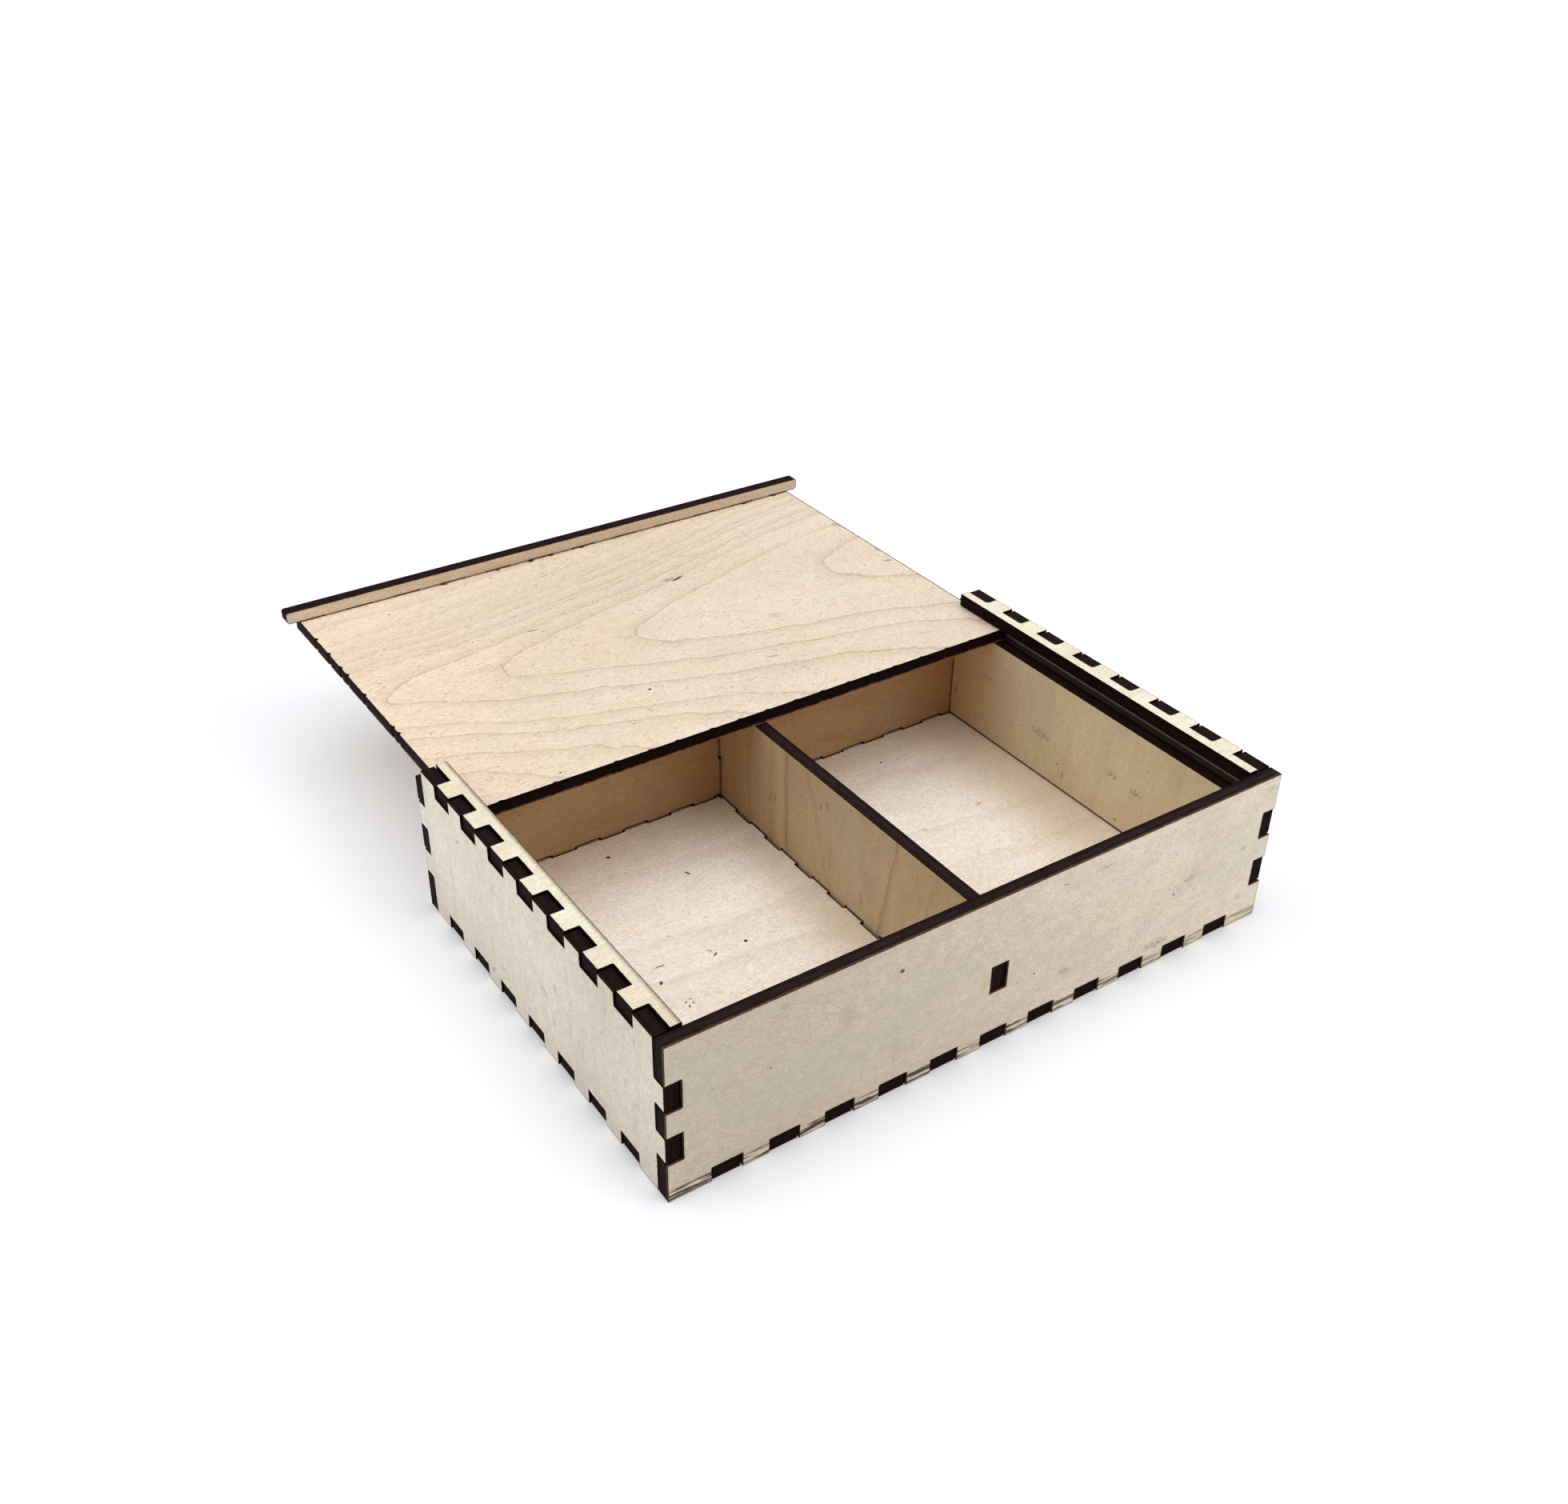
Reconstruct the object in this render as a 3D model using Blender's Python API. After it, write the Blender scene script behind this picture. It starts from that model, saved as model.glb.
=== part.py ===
"""Small plywood box with two compartments and a lid that slides out over its lower front wall.

Every piece is cut from one sheet, and square fingers join them. The box stands on the origin, its long
walls run along X, and its lid is drawn out along +Y. The end walls carry a rail above the lid and a liner
below it, and the lid runs between the two.
"""

import math

import bpy

# Driving sizes, in metres
BOX_LENGTH = 0.144  # outside, along X
BOX_DEPTH = 0.098  # outside, along Y
BOX_HEIGHT = 0.036  # from the underside to the top of the rails
SHEET = 0.003  # thickness of the plywood
FINGER = 0.006  # width of a finger, and of the space between two
RAIL_REACH = 0.0024  # how far a rail reaches in over the lid
LID_DRAWN = 0.077  # how far the lid stands open

# Clearances, in metres
GLUE_GAP = 0.0003  # between two pieces that are glued together
LID_PLAY = 0.0003  # between the lid and each face that it runs along or stops at
SLOT_PLAY = 0.00045  # at each side of the divider where it passes through a slot
END_RECESS = 0.0003  # how far a finger's end lies behind the face that it comes through
EDGE_DROP = 0.0003  # how far the walls and the lip stay below the top of the rails

# Small sizes, in metres
EAR_ROOT = 0.002  # least wall left between the way of the lid and the corner notch under it
LIP_CORNER_RADIUS = 0.0006

# Faces that several pieces share
WALL_FACE_X = BOX_LENGTH / 2 - SHEET  # inner face of an end wall
WALL_FACE_Y = BOX_DEPTH / 2 - SHEET  # inner face of a long wall
INSIDE_X = WALL_FACE_X - GLUE_GAP  # end of a piece that fits between the end walls
INSIDE_Y = WALL_FACE_Y - GLUE_GAP  # end of a piece that fits between the long walls
FINGER_END_X = BOX_LENGTH / 2 - END_RECESS
FINGER_END_Y = BOX_DEPTH / 2 - END_RECESS
INSIDE_BOTTOM = SHEET + GLUE_GAP  # bottom edge of a piece that stands on the floor
NOTCH_DEPTH = SHEET + GLUE_GAP  # depth of a notch that takes a sheet's thickness
RAIL_BOTTOM = BOX_HEIGHT - SHEET
LID_TOP = RAIL_BOTTOM - LID_PLAY
LID_BOTTOM = LID_TOP - SHEET
LEDGE_TOP = LID_BOTTOM - LID_PLAY  # top edge of all that the lid runs over
WALL_TOP = BOX_HEIGHT - EDGE_DROP
LID_SIDE = WALL_FACE_X - LID_PLAY

QUARTER_TURN = math.pi / 2
CORNER_STEPS = 4  # straight pieces in a rounded corner
ROUNDING_SHARE = 0.001  # of a finger, so that a run of whole fingers isn't counted one short

# How a panel's outline lies in the box: its X and Y run along the box's X and Y, X and Z, or Y and Z
LYING = (0, 0, 0)
STANDING_ALONG_X = (QUARTER_TURN, 0, 0)
STANDING_ALONG_Y = (QUARTER_TURN, 0, QUARTER_TURN)
LYING_TURNED_ROUND = (0, 0, 2 * QUARTER_TURN)

# Colour of each piece's veneer
COLOURS = {
    "floor": (0.72, 0.60, 0.50),
    "back_wall": (0.61, 0.54, 0.43),
    "front_wall": (0.46, 0.34, 0.22),
    "left_end_wall": (0.66, 0.60, 0.49),
    "right_end_wall": (0.60, 0.53, 0.42),
    "left_liner": (0.52, 0.40, 0.27),
    "right_liner": (0.54, 0.42, 0.29),
    "divider": (0.48, 0.36, 0.24),
    "left_rail": (0.76, 0.69, 0.55),
    "right_rail": (0.76, 0.69, 0.55),
    "lid_plate": (0.78, 0.64, 0.48),
    "lid_lip": (0.55, 0.43, 0.30),
}
VENEER_ROUGHNESS = 0.65


def fingers(run, middle=0, end_space=FINGER):
    """The (start, end) of each finger on a joint of this length, as many as leave end_space at both ends."""
    count = max(1, int((run - 2 * end_space + FINGER) / (2 * FINGER) + ROUNDING_SHARE))
    first = middle - (2 * count - 1) * FINGER / 2
    starts = [first + 2 * FINGER * number for number in range(count)]
    return [(start, start + FINGER) for start in starts]


def tabs(spans, length):
    """Steps outwards, each narrower than its finger by half the gap on both sides."""
    return [(start + GLUE_GAP / 2, end - GLUE_GAP / 2, length) for start, end in spans]


def notches(spans, depth=NOTCH_DEPTH):
    """Steps inwards, each wider than its finger by half the gap on both sides."""
    return [(start - GLUE_GAP / 2, end + GLUE_GAP / 2, -depth) for start, end in spans]


def corner(x, y, radius, first_angle):
    """An outline's corner, as one point or as a quarter turn that starts at first_angle."""
    if not radius:
        return [(x, y)]
    middle_angle = first_angle + QUARTER_TURN / 2
    centre_x = x - math.copysign(radius, math.cos(middle_angle))
    centre_y = y - math.copysign(radius, math.sin(middle_angle))
    angles = [first_angle + QUARTER_TURN * step / CORNER_STEPS for step in range(CORNER_STEPS + 1)]
    return [(centre_x + radius * math.cos(angle), centre_y + radius * math.sin(angle)) for angle in angles]


def panel_outline(left, right, bottom, top, steps, radius=0):
    """A rectangle, anticlockwise. steps holds each side's (start, end, distance outwards), lowest first."""
    points = corner(left, bottom, radius, 2 * QUARTER_TURN)
    for start, end, out in steps.get("bottom", []):
        points += [(start, bottom), (start, bottom - out), (end, bottom - out), (end, bottom)]
    points += corner(right, bottom, radius, 3 * QUARTER_TURN)
    for start, end, out in steps.get("right", []):
        points += [(right, start), (right + out, start), (right + out, end), (right, end)]
    points += corner(right, top, radius, 0)
    for start, end, out in reversed(steps.get("top", [])):
        points += [(end, top), (end, top + out), (start, top + out), (start, top)]
    points += corner(left, top, radius, QUARTER_TURN)
    for start, end, out in reversed(steps.get("left", [])):
        points += [(left, end), (left - out, end), (left - out, start), (left, start)]
    return points


def divider_slots(spans):
    """Holes for the divider's tabs: each as long as a notch, and with some play beside the sheet."""
    half_width = SHEET / 2 + SLOT_PLAY
    return [panel_outline(-half_width, half_width, start, end, {}) for start, end, _ in notches(spans)]


def veneer(name):
    material = bpy.data.materials.new(name + "_veneer")
    material.use_nodes = True
    shader = material.node_tree.nodes["Principled BSDF"]
    shader.inputs["Base Color"].default_value = (*COLOURS[name], 1)
    shader.inputs["Roughness"].default_value = VENEER_ROUGHNESS
    shader.inputs["Metallic"].default_value = 0
    return material


def cut_panel(collection, name, outline, location, rotation, holes=()):
    """One flat piece of the sheet: the outline with its holes, with half the thickness on both sides."""
    curve = bpy.data.curves.new(name, "CURVE")
    curve.dimensions = "2D"
    curve.fill_mode = "BOTH"
    curve.extrude = SHEET / 2
    for loop in (outline, *holes):
        spline = curve.splines.new("POLY")
        spline.points.add(len(loop) - 1)
        for point, (x, y) in zip(spline.points, loop):
            point.co = (x, y, 0, 1)
        spline.use_cyclic_u = True
    curve.materials.append(veneer(name))
    panel = bpy.data.objects.new(name, curve)
    panel.location = location
    panel.rotation_euler = rotation
    collection.objects.link(panel)
    return panel


def cut_floor(collection):
    """The floor, with tabs through all four walls and slots for the divider."""
    long_tabs = tabs(fingers(2 * WALL_FACE_X), FINGER_END_Y - INSIDE_Y)
    short_tabs = tabs(fingers(2 * WALL_FACE_Y), FINGER_END_X - INSIDE_X)
    steps = {"bottom": long_tabs, "top": long_tabs, "left": short_tabs, "right": short_tabs}
    outline = panel_outline(-INSIDE_X, INSIDE_X, -INSIDE_Y, INSIDE_Y, steps)
    slots = divider_slots(fingers(2 * WALL_FACE_Y))
    cut_panel(collection, "floor", outline, (0, 0, SHEET / 2), LYING, slots)


def divider_end_fingers():
    """The divider's fingers into the long walls, centred on its height."""
    return fingers(LEDGE_TOP - INSIDE_BOTTOM, (LEDGE_TOP + INSIDE_BOTTOM) / 2)


def corner_fingers():
    """The end walls' fingers into the long walls, below the way of the lid and as far from the underside."""
    return fingers(2 * LEDGE_TOP - BOX_HEIGHT, BOX_HEIGHT / 2, EAR_ROOT)


def long_wall_steps():
    """What both long walls have: notches over the floor's tabs, and in both ends for the end walls."""
    corner_notches = notches(corner_fingers())
    floor_notches = notches(fingers(2 * WALL_FACE_X))
    return {"bottom": floor_notches, "left": corner_notches, "right": corner_notches}


def cut_long_walls(collection):
    """The back wall, which stops the lid, and the front wall, which lets it out between two ears."""
    half_length = BOX_LENGTH / 2
    middle_y = BOX_DEPTH / 2 - SHEET / 2
    slots = divider_slots(divider_end_fingers())
    back_outline = panel_outline(-half_length, half_length, 0, WALL_TOP, long_wall_steps())
    cut_panel(collection, "back_wall", back_outline, (0, -middle_y, 0), STANDING_ALONG_X, slots)
    lid_way = [(-WALL_FACE_X, WALL_FACE_X, LEDGE_TOP - LID_TOP)]
    front_steps = {**long_wall_steps(), "top": lid_way}
    front_outline = panel_outline(-half_length, half_length, 0, LID_TOP, front_steps)
    cut_panel(collection, "front_wall", front_outline, (0, middle_y, 0), STANDING_ALONG_X, slots)


def cut_end_walls(collection):
    """Both end walls: fingers into the long walls, and notches over the floor's tabs and for the rail."""
    corner_tabs = tabs(corner_fingers(), FINGER_END_Y - INSIDE_Y)
    spans = fingers(2 * WALL_FACE_Y)
    rail_notches = notches(spans, WALL_TOP - RAIL_BOTTOM + GLUE_GAP)
    steps = {"left": corner_tabs, "right": corner_tabs, "bottom": notches(spans), "top": rail_notches}
    outline = panel_outline(-INSIDE_Y, INSIDE_Y, 0, WALL_TOP, steps)
    middle_x = BOX_LENGTH / 2 - SHEET / 2
    cut_panel(collection, "left_end_wall", outline, (-middle_x, 0, 0), STANDING_ALONG_Y)
    cut_panel(collection, "right_end_wall", outline, (middle_x, 0, 0), STANDING_ALONG_Y)


def cut_liners(collection):
    """The plain plates inside the end walls, whose top edges carry the lid."""
    outline = panel_outline(-INSIDE_Y, INSIDE_Y, INSIDE_BOTTOM, LEDGE_TOP, {})
    middle_x = INSIDE_X - SHEET / 2
    cut_panel(collection, "left_liner", outline, (-middle_x, 0, 0), STANDING_ALONG_Y)
    cut_panel(collection, "right_liner", outline, (middle_x, 0, 0), STANDING_ALONG_Y)


def cut_divider(collection):
    """The divider, with tabs down to the floor's underside and out through both long walls."""
    end_tabs = tabs(divider_end_fingers(), FINGER_END_Y - INSIDE_Y)
    floor_tabs = tabs(fingers(2 * WALL_FACE_Y), INSIDE_BOTTOM)
    steps = {"left": end_tabs, "right": end_tabs, "bottom": floor_tabs}
    outline = panel_outline(-INSIDE_Y, INSIDE_Y, INSIDE_BOTTOM, LEDGE_TOP, steps)
    cut_panel(collection, "divider", outline, (0, 0, 0), STANDING_ALONG_Y)


def cut_rails(collection):
    """The strips that hold the lid down. The right one is the left one turned round."""
    rail_tabs = tabs(fingers(2 * WALL_FACE_Y), FINGER_END_X - INSIDE_X)
    outline = panel_outline(-INSIDE_X, RAIL_REACH - INSIDE_X, -INSIDE_Y, INSIDE_Y, {"left": rail_tabs})
    height = BOX_HEIGHT - SHEET / 2
    cut_panel(collection, "left_rail", outline, (0, 0, height), LYING)
    cut_panel(collection, "right_rail", outline, (0, 0, height), LYING_TURNED_ROUND)


def cut_lid(collection):
    """The sliding plate and the lip on its front edge, both drawn as they lie on the shut box."""
    slide = bpy.data.objects.new("lid_slide", None)
    slide.location = (0, LID_DRAWN, (LID_TOP + LID_BOTTOM) / 2)
    collection.objects.link(slide)
    spans = fingers(2 * WALL_FACE_X)
    plate_outline = panel_outline(
        -LID_SIDE, LID_SIDE, LID_PLAY - WALL_FACE_Y, BOX_DEPTH / 2, {"top": notches(spans)}
    )
    plate = cut_panel(collection, "lid_plate", plate_outline, (0, 0, 0), LYING)
    lip_bottom = LID_TOP + GLUE_GAP
    lip_tabs = tabs(spans, lip_bottom - LID_BOTTOM - END_RECESS)
    lip_outline = panel_outline(
        -FINGER_END_X, FINGER_END_X, lip_bottom, WALL_TOP, {"bottom": lip_tabs}, LIP_CORNER_RADIUS
    )
    lip_place = (0, BOX_DEPTH / 2 - SHEET / 2, -slide.location.z)
    lip = cut_panel(collection, "lid_lip", lip_outline, lip_place, STANDING_ALONG_X)
    plate.parent = slide
    lip.parent = slide


def main():
    for old in list(bpy.data.objects):
        bpy.data.objects.remove(old, do_unlink=True)
    box = bpy.data.collections.new("sliding_lid_box")
    bpy.context.scene.collection.children.link(box)
    cut_floor(box)
    cut_long_walls(box)
    cut_end_walls(box)
    cut_liners(box)
    cut_divider(box)
    cut_rails(box)
    cut_lid(box)


main()
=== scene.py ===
import math

import bmesh
import bpy
import numpy as np
from mathutils import Matrix, Vector, geometry, noise


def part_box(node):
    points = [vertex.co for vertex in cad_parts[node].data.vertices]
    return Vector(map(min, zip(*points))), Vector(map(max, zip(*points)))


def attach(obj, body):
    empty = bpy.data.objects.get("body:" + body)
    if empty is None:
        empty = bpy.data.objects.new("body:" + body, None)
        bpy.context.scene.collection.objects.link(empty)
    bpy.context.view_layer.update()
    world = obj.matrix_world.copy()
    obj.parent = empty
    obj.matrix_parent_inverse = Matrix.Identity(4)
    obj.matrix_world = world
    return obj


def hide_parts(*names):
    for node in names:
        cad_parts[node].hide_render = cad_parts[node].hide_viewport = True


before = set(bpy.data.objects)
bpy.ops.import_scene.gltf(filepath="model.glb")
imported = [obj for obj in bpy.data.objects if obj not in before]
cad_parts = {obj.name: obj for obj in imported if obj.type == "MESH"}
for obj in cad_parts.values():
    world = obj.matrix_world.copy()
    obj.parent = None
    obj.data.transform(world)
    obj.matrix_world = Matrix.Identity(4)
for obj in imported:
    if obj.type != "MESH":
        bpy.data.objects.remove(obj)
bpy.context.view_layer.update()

# The small plywood box with the sliding lid, as it looks in the photograph. Lengths are in millimetres
# unless a name says otherwise, and the frame's own points are in metres.

MM = 0.001

# How the photographer's camera stood, in metres along the box's own axes
EYE = Vector((-0.165766, -0.217929, 0.218268))
LOOK = Vector((0.474609, 0.689288, -0.547384))
RIGHT = Vector((0.828328, -0.560095, 0.012907))
UP = Vector((0.297690, 0.459539, 0.836782))
LENS = 37.67
SENSOR = 36.0
CLIP = (0.01, 100.0)  # in metres

# The plywood
SHEET = 3.0
POINT_STEP = 0.5  # between neighbouring points along a cut
CORNER_OUT = 0.1  # how far a corner of the wood is eased
CORNER_IN = 0.08  # the round that the burning beam leaves inside a notch
CORNER_SHARE = 0.45  # of either side beside the corner, at most
ROUNDED_NOTCH = {"right_rail": 0.55}  # at the corner of each notch that is nearer the back wall
WELD = 1e-6  # in metres, as the next one
NEAR = 1e-5
COLLINEAR = 1e-3  # sine of a turn that is no corner
SAME_LINE = 0.01  # a corner this near to a line is on it
ONE_POINT = 1e-6  # points nearer than this become one in the triangles
TINY = 1e-12  # instead of the square of a run without length
FAR_AWAY = 1000.0

# Rows of points from the low face to the high face of a cut edge: height, inset, share of the
# raggedness and its seed, which lets the two faces and the core wear in their own ways
CUT_ROWS = (
    (0.0, 0.06, 1.0, 0),
    (0.09, 0.0, 0.45, 0),
    (1.5, 0.04, 0.3, 13),
    (2.91, 0.0, 0.45, 26),
    (3.0, 0.06, 1.0, 26),
)
SEEDS_APART = 40.0  # from one sheet to the next
# Rows of points on the face, inside the edge: how far in, and how many edge points to each
FACE_ROWS = ((0.35, 1), (1.0, 2), (2.4, 3))
FACE_GRID = 6.0
GRID_CLEAR = 1.3 * FACE_ROWS[-1][0]  # how far the grid's points keep from the edge
ROW_CLEAR = 0.94  # share of a row's inset that its points keep from every edge
ROW_APART = 0.8  # share of it that they keep from each other, but POINTS_APART is enough
POINTS_APART = 0.3
POINTS_CELL = 0.5  # of the squares that the points are looked up in
FINGER_PITCH = 12.0  # from one finger to the next
EDGE_REACH = 4.0  # the distance from the edge is noted up to here

# Outlines that close up against the next sheet: axis of the sheet, where the CAD has it, where it goes
SNUG = {
    "lid_plate": ((1, 122.7, 122.93),),
    "lid_lip": ((1, 33.0, 32.74),),
    "floor": ((1, 45.7, 45.97), (1, -45.7, -45.97), (0, 68.7, 68.97), (0, -68.7, -68.97)),
}
SLOT_SHRINK = {"floor": 0.24}  # how far the ends of each slot close up on the tab in it
WEAR = {"lid_plate": 1.0}
WEAR_ELSEWHERE = 0.4
SHARP_FROM = math.radians(30)
DISTANCE_BATCH = 500
# Nicks that the beam left in the lid's edges: along, across, depth
NICKS = {
    "lid_plate": (
        *((x, 31.3, 0.34) for x in (-61.5, -49.5, -35.5, -27.5, -21, -12.5, -5.5, 1.5, 9.0)),
        *((x, 31.3, 0.3) for x in (16.0, 23.0, 29.5, 36.0, 43.5, 51.0, 58.0)),
        *((-68.7, y, 0.6) for y in (113.1, 105.2, 97.9, 94.0, 84.0, 68.4, 65.5)),
        *((68.7, y, 0.4) for y in (103.0, 91.0, 66.0, 53.0)),
    ),
}
NICK_HALF = 0.6

# Axis of the outer veneer's grain on each sheet: 0 runs along the box, 2 stands upright
GRAIN = {
    "floor": 0,
    "back_wall": 0,
    "front_wall": 0,
    "lid_plate": 0,
    "lid_lip": 0,
    "left_rail": 0,
    "right_rail": 0,
    "left_end_wall": 2,
    "right_end_wall": 2,
    "left_liner": 2,
    "right_liner": 2,
    "divider": 2,
}


# Sheets cut from plywood


def sheet_loops(node, along, across, through, top):
    """The outline of a cut sheet and of its holes, from the solid in the frame, wood on the left."""
    work = bmesh.new()
    work.from_mesh(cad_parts[node].data)
    bmesh.ops.remove_doubles(work, verts=work.verts, dist=WELD)
    # a list and not a set, so that every run walks the faces in the same order
    face_up = [f for f in work.faces if all(abs(v.co[through] - top) < NEAR for v in f.verts)]
    follows = {}
    for face in face_up:
        for loop in face.loops:
            if sum(f in face_up for f in loop.edge.link_faces) == 1:
                follows[loop.vert] = loop.link_loop_next.vert
    loops = []
    while follows:
        start, vert = next(iter(follows.items()))
        loop = [start]
        del follows[start]
        while vert is not start:
            loop.append(vert)
            vert = follows.pop(vert)
        loops.append([(v.co[along] / MM, v.co[across] / MM) for v in loop])
    work.free()
    loops = [corners_only(loop) for loop in loops]
    loops.sort(key=lambda loop: -abs(signed_area(loop)))
    if signed_area(loops[0]) < 0:
        loops = [loop[::-1] for loop in loops]
    return loops


def signed_area(loop):
    points = np.array(loop)
    after = np.roll(points, -1, axis=0)
    return 0.5 * float(np.sum(points[:, 0] * after[:, 1] - after[:, 0] * points[:, 1]))


def with_neighbours(loop):
    """Each point of a loop, between the one before it and the one after it."""
    return zip(loop[-1:] + loop[:-1], loop, loop[1:] + loop[:1])


def corners_only(loop):
    """The loop without the points that lie on a straight run."""
    kept = []
    for before, here, after in with_neighbours(loop):
        first = (Vector(here) - Vector(before)).normalized()
        second = (Vector(after) - Vector(here)).normalized()
        if abs(first.x * second.y - first.y * second.x) > COLLINEAR:
            kept.append(here)
    return kept


def closed_up(corners, node):
    """The loop's corners, with those that leave a glue gap moved against the next sheet."""
    moved = [list(corner) for corner in corners]
    for axis, gap_at, goes_to in SNUG.get(node, ()):
        for corner in moved:
            if abs(corner[axis] - gap_at) < SAME_LINE:
                corner[axis] = goes_to
    if node in SLOT_SHRINK and signed_area(corners) < 0:
        middle = sum(corner[1] for corner in corners) / len(corners)
        for corner in moved:
            corner[1] -= math.copysign(SLOT_SHRINK[node], corner[1] - middle)
    return [tuple(corner) for corner in moved]


def eased_loop(corners, node):
    """The loop as closely spaced points, its corners rounded."""
    curves = []
    for before, here, after in with_neighbours(corners):
        here = Vector(here)
        to_before, to_after = Vector(before) - here, Vector(after) - here
        turn = to_after.x * to_before.y - to_after.y * to_before.x
        radius = CORNER_OUT if turn > 0 else CORNER_IN
        if turn < 0 and node in ROUNDED_NOTCH:
            bottom = to_before if abs(to_before.x) < abs(to_after.x) else to_after
            radius = ROUNDED_NOTCH[node] if bottom.y > 0 else radius
        radius = min(radius, CORNER_SHARE * to_before.length, CORNER_SHARE * to_after.length)
        start = here + to_before.normalized() * radius
        end = here + to_after.normalized() * radius
        middle = start * 0.25 + here * 0.5 + end * 0.25
        curves.append((start, middle, end))
    points = []
    for curve, next_curve in zip(curves, curves[1:] + curves[:1]):
        points.extend(curve)
        run = next_curve[0] - curve[2]
        pieces = max(1, math.ceil(run.length / POINT_STEP))
        points.extend(curve[2] + run * (k / pieces) for k in range(1, pieces))
    return np.array([tuple(p) for p in points])


def inward(points):
    """For each point of a loop, the direction into the wood."""
    along = np.roll(points, -1, axis=0) - np.roll(points, 1, axis=0)
    along /= np.linalg.norm(along, axis=1)[:, None]
    return np.stack([-along[:, 1], along[:, 0]], axis=1)


def edge_distance(points, loops):
    """How far each point is from the nearest edge."""
    nearest = np.full(len(points), FAR_AWAY)
    for loop in loops:
        start, run = loop, np.roll(loop, -1, axis=0) - loop
        length = np.maximum((run**2).sum(axis=1), TINY)
        for first in range(0, len(points), DISTANCE_BATCH):
            batch = slice(first, first + DISTANCE_BATCH)
            some = points[batch, None, :]
            share = ((some - start) * run).sum(axis=2) / length
            foot = start + run * np.clip(share, 0, 1)[:, :, None]
            far = np.linalg.norm(some - foot, axis=2).min(axis=1)
            nearest[batch] = np.minimum(nearest[batch], far)
    return nearest


def in_wood(points, loops):
    """True for the points that lie inside the outline and outside its holes."""
    inside = np.zeros(len(points), bool)
    x, y = points[:, 0], points[:, 1]
    for loop in loops:
        after = np.roll(loop, -1, axis=0)
        for (x0, y0), (x1, y1) in zip(loop, after):
            if y0 == y1:
                continue
            crosses = (y0 > y) != (y1 > y)
            inside ^= crosses & (x < (x1 - x0) * (y - y0) / (y1 - y0) + x0)
    return inside


def face_points(loops, low, high):
    """Points on the face: rows that follow the edge, and a wide grid for the rest."""
    found, depth = [], []
    for inset, every in FACE_ROWS:
        for loop in loops:
            found.append((loop + inward(loop) * inset)[::every])
            depth.append(np.full(len(found[-1]), inset))
    x, y = (np.arange(low[k], high[k], FACE_GRID) + FACE_GRID / 2 for k in (0, 1))
    found.append(np.stack(np.meshgrid(x, y), axis=-1).reshape(-1, 2))
    depth.append(np.full(len(found[-1]), GRID_CLEAR))
    found, depth = np.concatenate(found), np.concatenate(depth)
    far = edge_distance(found, loops)
    good = in_wood(found, loops) & (far > ROW_CLEAR * depth)
    found, depth, far = found[good], depth[good], far[good]
    kept, places = [], {}
    for k, (point, inset) in enumerate(zip(found, depth)):
        apart = min(POINTS_APART, ROW_APART * inset)
        x, y = (int(at // POINTS_CELL) for at in point)
        around = [places.get((x + i, y + j), ()) for i in (-1, 0, 1) for j in (-1, 0, 1)]
        if all(np.hypot(*(point - other)) > apart for near in around for other in near):
            places.setdefault((x, y), []).append(point)
            kept.append(k)
    return found[kept], far[kept]


def fill_face(loops, inner):
    """Triangles over the wood, with the loops' points first and the inner points after them."""
    points = [Vector(p) for loop in loops for p in loop] + [Vector(p) for p in inner]
    edges, first = [], 0
    for loop in loops:
        count = len(loop)
        edges += [(first + k, first + (k + 1) % count) for k in range(count)]
        first += count
    _, _, faces, came_from, _, _ = geometry.delaunay_2d_cdt(points, edges, [], 0, ONE_POINT)
    triangles = np.array([came[0] for came in came_from])[np.array(faces)]
    flat = np.array([tuple(p) for p in points])
    middle = flat[triangles].mean(axis=1)
    return triangles[in_wood(middle, loops)]


def raggedness(point, seed, node):
    """How much of the veneer's edge is missing at a point: fine wear, and now and then a chip."""
    fine = 0.5 + 0.5 * noise.noise(Vector((point[0] * 1.3, point[1] * 1.3, seed)))
    grit = 0.5 + 0.5 * noise.noise(Vector((point[0] * 4.1, point[1] * 4.1, seed + 9)))
    chip = noise.noise(Vector((point[0] * 0.55, point[1] * 0.55, seed + 21)))
    worn = 0.06 * fine + 0.06 * grit + 0.5 * max(0.0, chip - 0.4)
    nick = 0.0
    for x, y, depth in NICKS.get(node, ()):
        reach = 1.0 - math.hypot(point[0] - x, point[1] - y) / NICK_HALF
        nick = max(nick, depth * min(1.0, 1.6 * reach))
    return WEAR.get(node, WEAR_ELSEWHERE) * worn + nick


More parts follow.
